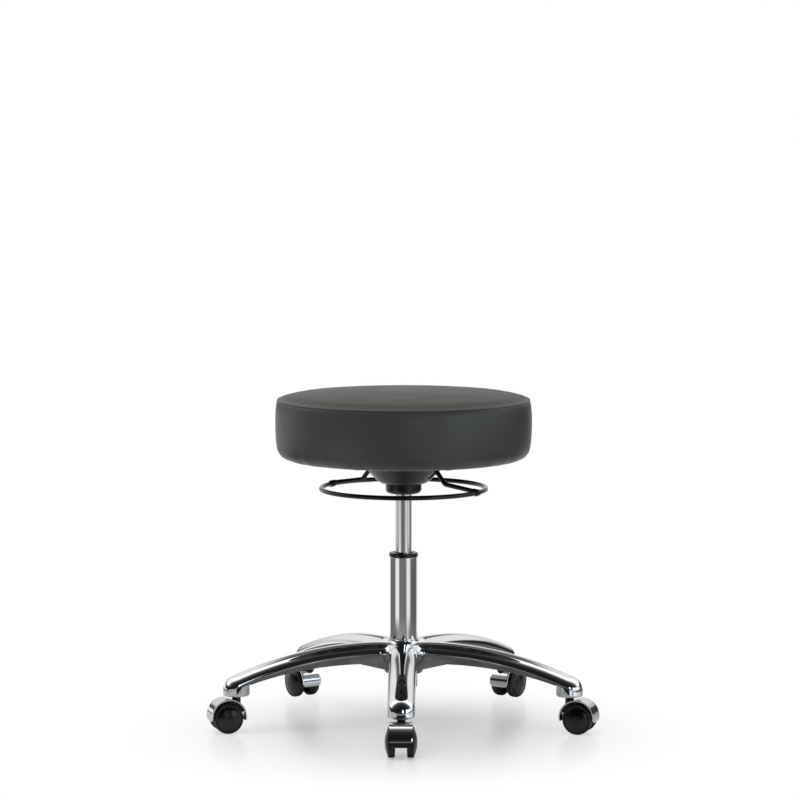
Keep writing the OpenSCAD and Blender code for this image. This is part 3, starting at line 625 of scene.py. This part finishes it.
def makeClips():
    # moulded sleeves that wrap ring and spoke
    s = ring
    whole = bmesh.new()
    half, r, bore, nose = s["clipLong"] / 2, s["clipR"], s["clipBore"], s["noseR"]
    sleeve = turned([(bore, -half, 0), (r - 0.9, -half, 0.8), (r, -half + 1.6, 1), (r, -1.4, 0.3),
                     (r - 0.5, -0.9, 0.2), (r - 0.5, 0.9, 0.2), (r, 1.4, 0.3), (r, half - 1.6, 1),
                     (r - 0.9, half, 0.8), (bore, half, 0)], steps=40)
    tip = turned([(0, 0, 0), (nose, 0, 0), (nose, 7.5, 1.6), (bore, 9.2, 0), (0, 9.2, 0)], steps=40,
                 closed=False)
    lying = Matrix.Rotation(math.pi / 2, 4, "X")
    tilted = Matrix.Rotation(math.radians(s["noseTilt"]), 4, "Y")
    out, rise = s["noseAt"]
    for side in (0, 1):
        turn = turnedBy(mechanismTurn, side)
        joined(whole, sleeve, turn @ moved(s["r"], 0, s["z"] + s["clipUp"]) @ lying)
        joined(whole, tip, turn @ moved(s["r"] + out, 0, s["z"] + rise) @ tilted)
    sleeve.free()
    tip.free()
    keep("ringClips", whole, "collarPlastic", "release", ["ring_clips"], sharp=40)


makeRing()
makeLever()
makeClips()
print("mechanism done")

caster = dict(trail=18.5, axleZ=25.5, hoodX=17, hoodZ=28, hoodR=31, hoodT=2, hoodW=38, lap=13,
              corner=7, holeR=9.2, holeZ=47.5, holeLong=30, bands=64, bandY=8)
wheel = dict(r=25.5, inner=10, outer=27, dome=5, bore=3.05, hubR=6, tyreIn=20.4, recess=7.6, faceR=21.3,
             faceFrom=9)


def atCaster(k):
    return turnedBy(-90 + 360 / base["arms"] * (k - 1)) @ moved(base["stemR"], 0, 0)


def makeHood(k):
    # a sheet with rounded corners, rolled over the wheels and pierced for the stem
    s = caster
    span = math.radians(180 + 2 * s["lap"])
    length = s["hoodR"] * span
    bm = bmesh.new()
    bmesh.ops.create_grid(bm, x_segments=1, y_segments=1, size=0.5)
    bmesh.ops.scale(bm, verts=bm.verts, vec=Vector((length, s["hoodW"], 1)) * mm)
    bmesh.ops.bevel(bm, geom=bm.verts[:], offset=s["corner"] * mm, segments=8, affect="VERTICES", profile=0.5,
                    material=-1)
    cuts = [((i / s["bands"] - 0.5) * length * mm, 0, 0) for i in range(1, s["bands"])]
    cuts += [(0, y * s["bandY"] * mm, 0) for y in range(-2, 3)]
    for i, at in enumerate(cuts):
        across = (1, 0, 0) if i < s["bands"] - 1 else (0, 1, 0)
        bmesh.ops.bisect_plane(bm, geom=bm.verts[:] + bm.edges[:] + bm.faces[:], plane_co=at, plane_no=across)
    for v in bm.verts:
        a = math.pi / 2 - v.co.x / mm / s["hoodR"]
        v.co = spot(s["hoodX"] + s["hoodR"] * math.cos(a), v.co.y / mm, s["hoodZ"] + s["hoodR"] * math.sin(a))
    bmesh.ops.transform(bm, verts=bm.verts, matrix=atCaster(k))
    piece = keep(f"hood{k}", bm, "chrome", f"caster_{k}", [f"caster_hood_{k}"], sharp=60)
    middle = atCaster(k) @ spot(s["hoodX"], 0, s["hoodZ"])
    first = piece.data.polygons[0]
    if (first.center - middle).dot(first.normal) < 0:
        piece.data.flip_normals()
    wall = piece.modifiers.new("wall", "SOLIDIFY")
    wall.thickness, wall.offset = s["hoodT"] * mm, -1
    applied(piece)
    hole = bmesh.new()
    bmesh.ops.create_cone(hole, cap_ends=True, segments=48, radius1=s["holeR"] * mm, radius2=s["holeR"] * mm,
                          depth=s["holeLong"] * mm)
    bmesh.ops.transform(hole, verts=hole.verts, matrix=atCaster(k) @ moved(0, 0, s["holeZ"]))
    carve(piece, hole)
    softened(piece, 0.7, 3, 60)


def makeWheel(k, side):
    # tread, lip and domed outer face, turned about the axle
    s = wheel
    word = "left" if side > 0 else "right"
    r, inner, outer, hub, tyre = s["r"], s["inner"], s["outer"], s["hubR"], s["tyreIn"]
    rim, web = outer - s["dome"], inner + s["recess"]
    bm = turned([(s["bore"], inner, 0.3), (hub, inner, 0.4), (hub, web, 0.6), (tyre, web, 0.6),
                 (tyre, inner, 0.5), (r, inner, 3), (r, rim, 3), (21.6, rim + 0.15, 0.4),
                 (21.2, rim - 0.7, 0.25), (20.7, rim + 0.35, 0.4), (17, rim + 2.2, 12),
                 (9, outer - 0.45, 20), (0, outer - 0.02, 0)], steps=96, closed=False)
    for f in bm.faces:
        c = f.calc_center_median()
        onFace = math.hypot(c.x, c.y) < s["faceR"] * mm and c.z > (inner + s["faceFrom"]) * mm
        f.material_index = int(onFace)
    if side > 0:
        bmesh.ops.scale(bm, verts=bm.verts, vec=(1, 1, -1))
    axle = moved(caster["trail"], 0, caster["axleZ"]) @ Matrix.Rotation(math.pi / 2, 4, "X")
    bmesh.ops.transform(bm, verts=bm.verts, matrix=atCaster(k) @ axle)
    keep(f"wheel{word.title()}{k}", bm, ["wheelTread", "wheelFace"], f"{word}_wheel_{k}",
         [f"wheel_{word}_{k}"], sharp=40)


for k in range(1, base["arms"] + 1):
    makeHood(k)
    makeWheel(k, 1)
    makeWheel(k, -1)
    dress([f"caster_frame_{k}"], "framePlastic")
    dress([f"caster_axle_{k}"], "brightSteel")
print("casters done")

cushion = dict(r=222, floor=459, top=575.5, edge=23, draw=2.2, seamDraw=0.9, crown=14, crownPower=2.3,
               roll=6.5, inset=0.8, quickInset=0.3, voxel=5, frames=20, pressure=4, stiffness=25, bending=4,
               cap=1.3, holdFloor=4, holdSeam=2.6, rimR=210, flatR=120, boardR=190, edgeR=160, sideR=205,
               gap=0.2, skinUp=0.15, seed=11, puckers=58, puckerH=26, groove=0.12, grooveH=2.4, sway=0.35,
               swayScale=0.022)


def cushionProfile(inset):
    # underside, rounded lower edge, bowed side, roll above the seam and crown
    s = cushion
    r, z = s["r"] - inset, s["floor"] + inset
    edge, seam = s["edge"] - inset, s["top"] - s["crown"] - inset
    crownR, roll = r - s["draw"] - s["seamDraw"], s["roll"]
    points = [(0, z)]
    for i in range(9):
        a = math.radians(90 * i / 8)
        points.append((r - s["draw"] - edge + edge * math.sin(a), z + edge - edge * math.cos(a)))
    side = z + edge
    for i in range(1, 10):
        t = i / 10
        points.append((r - s["draw"] * (2 * t - 1) ** 2, side + (seam - side) * t))
    for i in range(8):
        a = math.radians(84 * i / 7)
        points.append((crownR - roll + roll * math.cos(a), seam + roll * math.sin(a)))
    outer, low = points[-1]
    for i in range(1, 17):
        t = 1 - i / 16
        points.append((outer * t, low + (s["top"] - inset - low) * (1 - t ** s["crownPower"])))
    return points


def inflate(piece):
    # fills the cushion with pressure, held at its underside and seam, and caps how far it may move
    s = cushion
    start = [v.co.copy() for v in piece.data.vertices]
    held = piece.vertex_groups.new(name="held")
    seam = (s["top"] - s["crown"] - s["inset"]) * mm
    for v in piece.data.vertices:
        atRim = math.hypot(v.co.x, v.co.y) > s["rimR"] * mm
        atSeam = atRim and abs(v.co.z - seam) < s["holdSeam"] * mm
        if v.co.z < (s["floor"] + s["holdFloor"]) * mm or atSeam:
            held.add([v.index], 1.0, "REPLACE")
    cloth = piece.modifiers.new("cloth", "CLOTH")
    cloth.settings.use_pressure = True
    cloth.settings.uniform_pressure_force = s["pressure"]
    cloth.settings.effector_weights.gravity = 0
    cloth.settings.vertex_group_mass = "held"
    cloth.settings.tension_stiffness = s["stiffness"]
    cloth.settings.compression_stiffness = s["stiffness"]
    cloth.settings.bending_stiffness = s["bending"]
    cloth.point_cache.frame_end = s["frames"]
    for f in range(1, s["frames"] + 1):
        scene.frame_set(f)
    applied(piece)
    for v, was in zip(piece.data.vertices, start):
        move = v.co - was
        if move.length > s["cap"] * mm:
            v.co = was + move * (s["cap"] * mm / move.length)
    scene.frame_set(1)


def makeCushion():
    s = cushion
    inset = s["inset"]
    bm = turned([(x, z, 0) for x, z in cushionProfile(inset)], steps=180, closed=False)
    piece = keep("cushionCover", bm, "vinyl", "seat", ["seat_cover", "seat_foam"], sharp=80)
    remesh = piece.modifiers.new("remesh", "REMESH")
    remesh.mode, remesh.voxel_size, remesh.use_smooth_shade = "VOXEL", s["voxel"] * mm, True
    applied(piece)
    inflate(piece)
    calm = piece.modifiers.new("calm", "SMOOTH")
    calm.factor, calm.iterations = 0.5, 10
    finer = piece.modifiers.new("finer", "SUBSURF")
    finer.levels = finer.render_levels = 1
    applied(piece)
    mesh = piece.data
    dice = random.Random(s["seed"])
    tucks = [(dice.uniform(0, math.tau), dice.uniform(0.5, 1.3), dice.uniform(5, 11))
             for _ in range(s["puckers"])]
    seam, bottom = s["top"] - s["crown"], (s["floor"] + s["skinUp"]) * mm
    for v in mesh.vertices:
        x, y, z = v.co / mm
        r = math.hypot(x, y)
        # the underside lies flat on the board
        if z < s["floor"] + 2 and r < s["boardR"]:
            v.co.z = bottom
        if r < s["flatR"]:
            continue
        around = math.atan2(y, x)
        out = 0.0
        low = max(0.0, 1 - max(0.0, z - s["floor"] - 3) / s["puckerH"])
        if low > 0 and r > s["edgeR"]:
            for at, depth, wide in tucks:
                gap = abs((around - at + math.pi) % math.tau - math.pi) * r
                if gap < 3 * wide:
                    out -= depth * low ** 1.5 * math.exp(-(gap / wide) ** 2)
        # a shallow groove at the seam and slow unevenness of the side
        if r > s["sideR"]:
            out -= s["groove"] * math.exp(-((z - seam) / s["grooveH"]) ** 2)
            out += s["sway"] * noise.noise(Vector((x, y, z)) * s["swayScale"]) * (1 - low)
        share = min(r + out, s["r"] - s["gap"]) / r
        v.co.x *= share
        v.co.y *= share
        v.co.z = min(max(v.co.z, bottom), (s["top"] - s["gap"]) * mm)
    mesh.shade_smooth()


stitches = dict(count=270, size=(0.5, 3.1, 0.5), out=0.2, drop=3.6)


def makeSeam():
    # welt where top panel and boxing meet, and the row of stitches below it
    s = cushion
    z = s["top"] - s["crown"]
    r = s["r"] - s["draw"] - s["seamDraw"]
    bm = turned([(r - 3.4, z - 1.9, 0), (r - 1.4, z - 1.2, 0.5), (r - 0.9, z, 0.6), (r - 1.5, z + 1.2, 0.5),
                 (r - 3.7, z + 1.9, 0)], steps=220)
    for v in bm.verts:
        v.co.z += 0.25 * mm * noise.noise(Vector((v.co.x, v.co.y, 0)) * 40)
    keep("seamWelt", bm, "vinyl", "seat", sharp=60)
    stitch = block(stitches["size"], (0, 0, 0))
    bevelEdges(stitch, stitch.edges[:], 0.14, 1)
    whole = bmesh.new()
    for i in range(stitches["count"]):
        turn = turnedBy(360 * i / stitches["count"])
        joined(whole, stitch, turn @ moved(r + stitches["out"], 0, z - stitches["drop"]))
    stitch.free()
    keep("seamStitches", whole, "thread", "seat", sharp=40, dist=1e-8)


makeCushion()
makeSeam()
print("cushion done")

studio = dict(ringR=800, tentR=3400, tentTop=3080, cardColour=(0.1512, 0.14, 0.1288, 1), cardX=(1.1, 0.8),
              cardY=(0.95, 1.15), floorR=9.0, floorColour=(0.86, 0.875, 0.875, 1), floorRough=0.22,
              fadeY=0.10, fade=(0.10, 0.50, 0.22), darkX=(0.29, 0.24), darkY=(-0.352, -0.37), darkLevel=0.015,
              fillColour=(0.97, 0.985, 1, 1), fillLevel=0.5)

# painted reflection and highlight levels round the stool, in degrees from the camera's side: first the floor
# as the foot of the column, its upper half and the pressure tube see it, then the wall at three heights
rounds = dict(
    near=[(-180, 1.0), (-142, 0.9), (-132, 0.17), (-60, 0.20), (-45, 0.34), (0, 0.30), (28, 0.28), (33, 0.8),
          (38, 0.8), (43, 0.28), (75, 0.18), (125, 0.16), (140, 0.9), (180, 1.0)],
    far=[(-180, 1.0), (-142, 0.9), (-132, 0.17), (-84, 0.17), (-72, 0.24), (-66, 1.02), (-40, 1.02),
         (-33, 0.20), (14, 0.19), (22, 0.24), (28, 0.96), (52, 0.96), (61, 0.2), (75, 0.13), (125, 0.13),
         (140, 0.8), (180, 1.0)],
    tall=[(-180, (0.62, 0.68, 0.74)), (-100, (0.60, 0.66, 0.72)), (-86, 0.38), (-70, 0.58), (-53, 0.92),
          (-38, 0.50), (-28, 0.17), (10, 0.17), (20, 0.36), (33, 0.84), (49, 0.64), (65, 0.52), (82, 0.84),
          (96, 0.3), (104, 0.22), (140, 0.24), (155, 0.62), (180, 0.66)],
    low=[(-180, 1.0), (-106, (0.95, 1.05, 1.15)), (-86, 0.06), (-60, 0.02), (-20, 0.03), (12, 0.08),
         (19, 0.04), (37, 0.04), (39, (0.48, 0.56, 0.63)), (54, (0.46, 0.54, 0.60)), (72, 0.10),
         (100, 0.05), (145, 0.04), (158, 0.9), (180, 1.0)],
    mid=[(-180, 1.0), (-165, 0.95), (-158, (0.11, 0.09, 0.075)), (-128, (0.10, 0.085, 0.072)), (-122, 1.0),
         (-118, 1.0), (-108, 0.03), (-60, 0.012), (8, 0.02), (10, (2.6, 3.0, 3.4)), (17, (2.8, 3.2, 3.6)),
         (19, 0.03), (37, 0.03), (39, (2.8, 3.2, 3.6)), (56, (1.9, 2.1, 2.4)), (95, (0.9, 1.0, 1.1)),
         (115, 0.03), (130, 0.02), (153, (0.07, 0.06, 0.06)), (160, 0.9), (180, 1.0)],
    wall=[(-180, 0.78), (-118, 0.75), (-108, 0.02), (-60, 0.012), (8, 0.012), (10, (1.9, 2.1, 2.4)),
          (17, (2.0, 2.3, 2.6)), (19, 0.02), (37, 0.02), (39, (2.0, 2.3, 2.6)), (56, (1.4, 1.6, 1.8)),
          (95, (0.7, 0.8, 0.9)), (115, 0.02), (130, 0.02), (150, 0.75), (180, 0.78)],
)
# painted reflection levels of the roof, from its front to its back
roof = [(0.0, 0.012), (0.15, 0.02), (0.26, 0.04), (0.36, 0.13), (0.43, 0.4), (0.475, 1.5), (0.66, 1.5),
        (0.70, 0.95), (1.0, 0.95)]
# where each pattern takes over from the one before: distances on the floor, and heights on the wall
floorSteps = dict(far=(1.0, 1.25), tall=(2.15, 2.3))
wallSteps = dict(mid=(0.3, 0.42), wall=(0.65, 0.85), roof=(1.1, 1.5))


def ramp(tree, driver, stops):
    # a colour ramp from (place, level) stops, where a level is a grey or a colour
    node = addNode(tree, "ValToRGB", {"Fac": driver})
    elements = node.color_ramp.elements
    while len(elements) > 1:
        elements.remove(elements[-1])
    for i, (at, level) in enumerate(stops):
        stop = elements.new(at) if i else elements[0]
        stop.position = at
        stop.color = (level if isinstance(level, tuple) else (level, level, level)) + (1,)
    return node.outputs["Color"]


def blend(tree, low, high, start, end, driver):
    return addMix(tree, addSpan(tree, driver, start, end, soft=True), low, high)


def rectangle(tree, x, y, acrossSpan, alongSpan):
    # mask of a soft-edged rectangle on both sides of the middle
    across = addSpan(tree, addMath(tree, "ABSOLUTE", x), *acrossSpan)
    return addMath(tree, "MULTIPLY", across, addSpan(tree, y, *alongSpan))


def finishSides(tree, front, back):
    # one shader for the front of the faces and one for their back
    facing = addNode(tree, "NewGeometry").outputs["Backfacing"]
    feed(tree, tree.nodes["Material Output"], {"Surface": mixShaders(tree, facing, front, back)})


def makeTent():
    # glowing surroundings seen only by glossy rays, which paint the reflections and highlights on the chrome
    # and vinyl: a patterned floor ring, a wall and a domed roof
    s = studio
    out = s["tentR"]
    bm = turned([(s["ringR"], 2, 0), (out, 2, 0), (out, 1700, 0), (out * 0.95, 2150, 0),
                 (out * 0.76, 2700, 0), (out * 0.44, 3000, 0), (0, s["tentTop"], 0)], steps=96, closed=False)
    bmesh.ops.recalc_face_normals(bm, faces=bm.faces)
    mat, tree = newMaterial("tentReflectionGlow")
    tree.nodes.remove(tree.nodes["Principled BSDF"])
    place = addNode(tree, "TexCoord").outputs["Object"]
    x, y, z = addNode(tree, "SeparateXYZ", {0: place}).outputs
    turn = addMath(tree, "ARCTAN2", x, addMath(tree, "MULTIPLY", y, -1))
    turn = addSpan(tree, turn, -math.pi, math.pi)
    away = addLength(tree, place)
    seen = {name: ramp(tree, turn, [((a + 180) / 360, level) for a, level in stops])
            for name, stops in rounds.items()}
    high = ramp(tree, addSpan(tree, y, -out * mm, out * mm), roof)
    # painted dark reflection: a dark card high above the back
    seen["roof"] = addMix(tree, rectangle(tree, x, y, s["cardX"], s["cardY"]), high, s["cardColour"])
    ground, upright = seen["near"], seen["low"]
    for name, (start, end) in floorSteps.items():
        ground = blend(tree, ground, seen[name], start, end, away)
    for name, (start, end) in wallSteps.items():
        upright = blend(tree, upright, seen[name], start, end, z)
    glow = addNode(tree, "Emission", {"Color": blend(tree, ground, upright, 0.01, 0.04, z)})
    finishSides(tree, addNode(tree, "BsdfTransparent").outputs[0], glow.outputs[0])
    tent = placed("reflectorTent", bm, [mat])
    tent.data.shade_smooth()
    for ray in ("camera", "diffuse", "transmission", "volume_scatter", "shadow"):
        setattr(tent, "visible_" + ray, False)
    return tent


def makeFloor():
    # white and slightly glossy, fading to plain white away from the stool, and clear from below
    s = studio
    bm = bmesh.new()
    bmesh.ops.create_circle(bm, cap_ends=True, segments=128, radius=s["floorR"])
    mat, tree = newMaterial("floorWhite")
    shader = tree.nodes["Principled BSDF"]
    feed(tree, shader, {"Base Color": s["floorColour"], "Roughness": s["floorRough"]})
    place = addNode(tree, "TexCoord").outputs["Object"]
    middle = addNode(tree, "Mapping", {"Vector": place, "Location": (0, s["fadeY"], 0)})
    # painted shade: camera rays see less of the plain white glow around a point just in front of the stool,
    # so the floor stays darker there on top of its real shadow
    start, end, least = s["fade"]
    fade = addSpan(tree, addLength(tree, middle.outputs["Vector"]), start, end, least, soft=True)
    path = addNode(tree, "LightPath").outputs
    seen = addMath(tree, "MAXIMUM", path["Is Camera Ray"], path["Is Transmission Ray"])
    glow = addNode(tree, "Emission").outputs[0]
    white = mixShaders(tree, addMath(tree, "MULTIPLY", fade, seen), shader.outputs[0], glow)
    # painted dark reflection: the floor in front of the stool turns near black, only in reflections
    x, y, z = addNode(tree, "SeparateXYZ", {0: place}).outputs
    dark = rectangle(tree, x, y, s["darkX"], s["darkY"])
    dark = addMath(tree, "MULTIPLY", dark, path["Is Glossy Ray"])
    black = addNode(tree, "Emission", {"Strength": s["darkLevel"]}).outputs[0]
    clear = addNode(tree, "BsdfTransparent").outputs[0]
    finishSides(tree, mixShaders(tree, dark, white, black), clear)
    return placed("studioFloor", bm, [mat])


def makeWorld():
    # plain white to the camera and in reflections, a softer fill on everything else
    world = bpy.data.worlds.new("studio")
    scene.world = world
    world.use_nodes = True
    tree = world.node_tree
    fill = tree.nodes["Background"]
    feed(tree, fill, {"Color": studio["fillColour"], "Strength": studio["fillLevel"]})
    white = addNode(tree, "Background", {"Color": (1, 1, 1, 1)})
    path = addNode(tree, "LightPath").outputs
    seen = addMath(tree, "MAXIMUM", path["Is Camera Ray"], path["Is Glossy Ray"])
    seen = addMath(tree, "MAXIMUM", seen, path["Is Transmission Ray"])
    surface = mixShaders(tree, seen, fill.outputs[0], white.outputs[0])
    feed(tree, tree.nodes["World Output"], {"Surface": surface})


overhead = dict(at=(-0.5, -0.4, 2.6), size=2.2, power=34)


def makeLamp():
    data = bpy.data.lights.new("overheadBox", "AREA")
    data.shape = "SQUARE"
    data.size = overhead["size"]
    data.energy = overhead["power"]
    lamp = bpy.data.objects.new("overheadBox", data)
    lamp.location = overhead["at"]
    lamp.rotation_euler = (-lamp.location).to_track_quat("-Z", "Y").to_euler()
    scene.collection.objects.link(lamp)
    lamp.visible_glossy = False


view = dict(distance=6.0, height=1.12, aimZ=0.561, aimX=-0.0062, azimuth=0.75, lens=157.6)


def makeCamera():
    data = bpy.data.cameras.new("photoView")
    data.lens = view["lens"]
    data.sensor_width = 36
    eye = bpy.data.objects.new("photoView", data)
    a = math.radians(view["azimuth"])
    across = Vector((math.cos(a), math.sin(a), 0))
    eye.location = Vector((view["distance"] * math.sin(a), -view["distance"] * math.cos(a), view["height"]))
    aim = across * view["aimX"] + Vector((0, 0, view["aimZ"]))
    eye.rotation_euler = (aim - eye.location).to_track_quat("-Z", "Y").to_euler()
    scene.collection.objects.link(eye)
    scene.camera = eye


makeFloor()
makeTent()
makeWorld()
makeLamp()
makeCamera()
print("studio done")
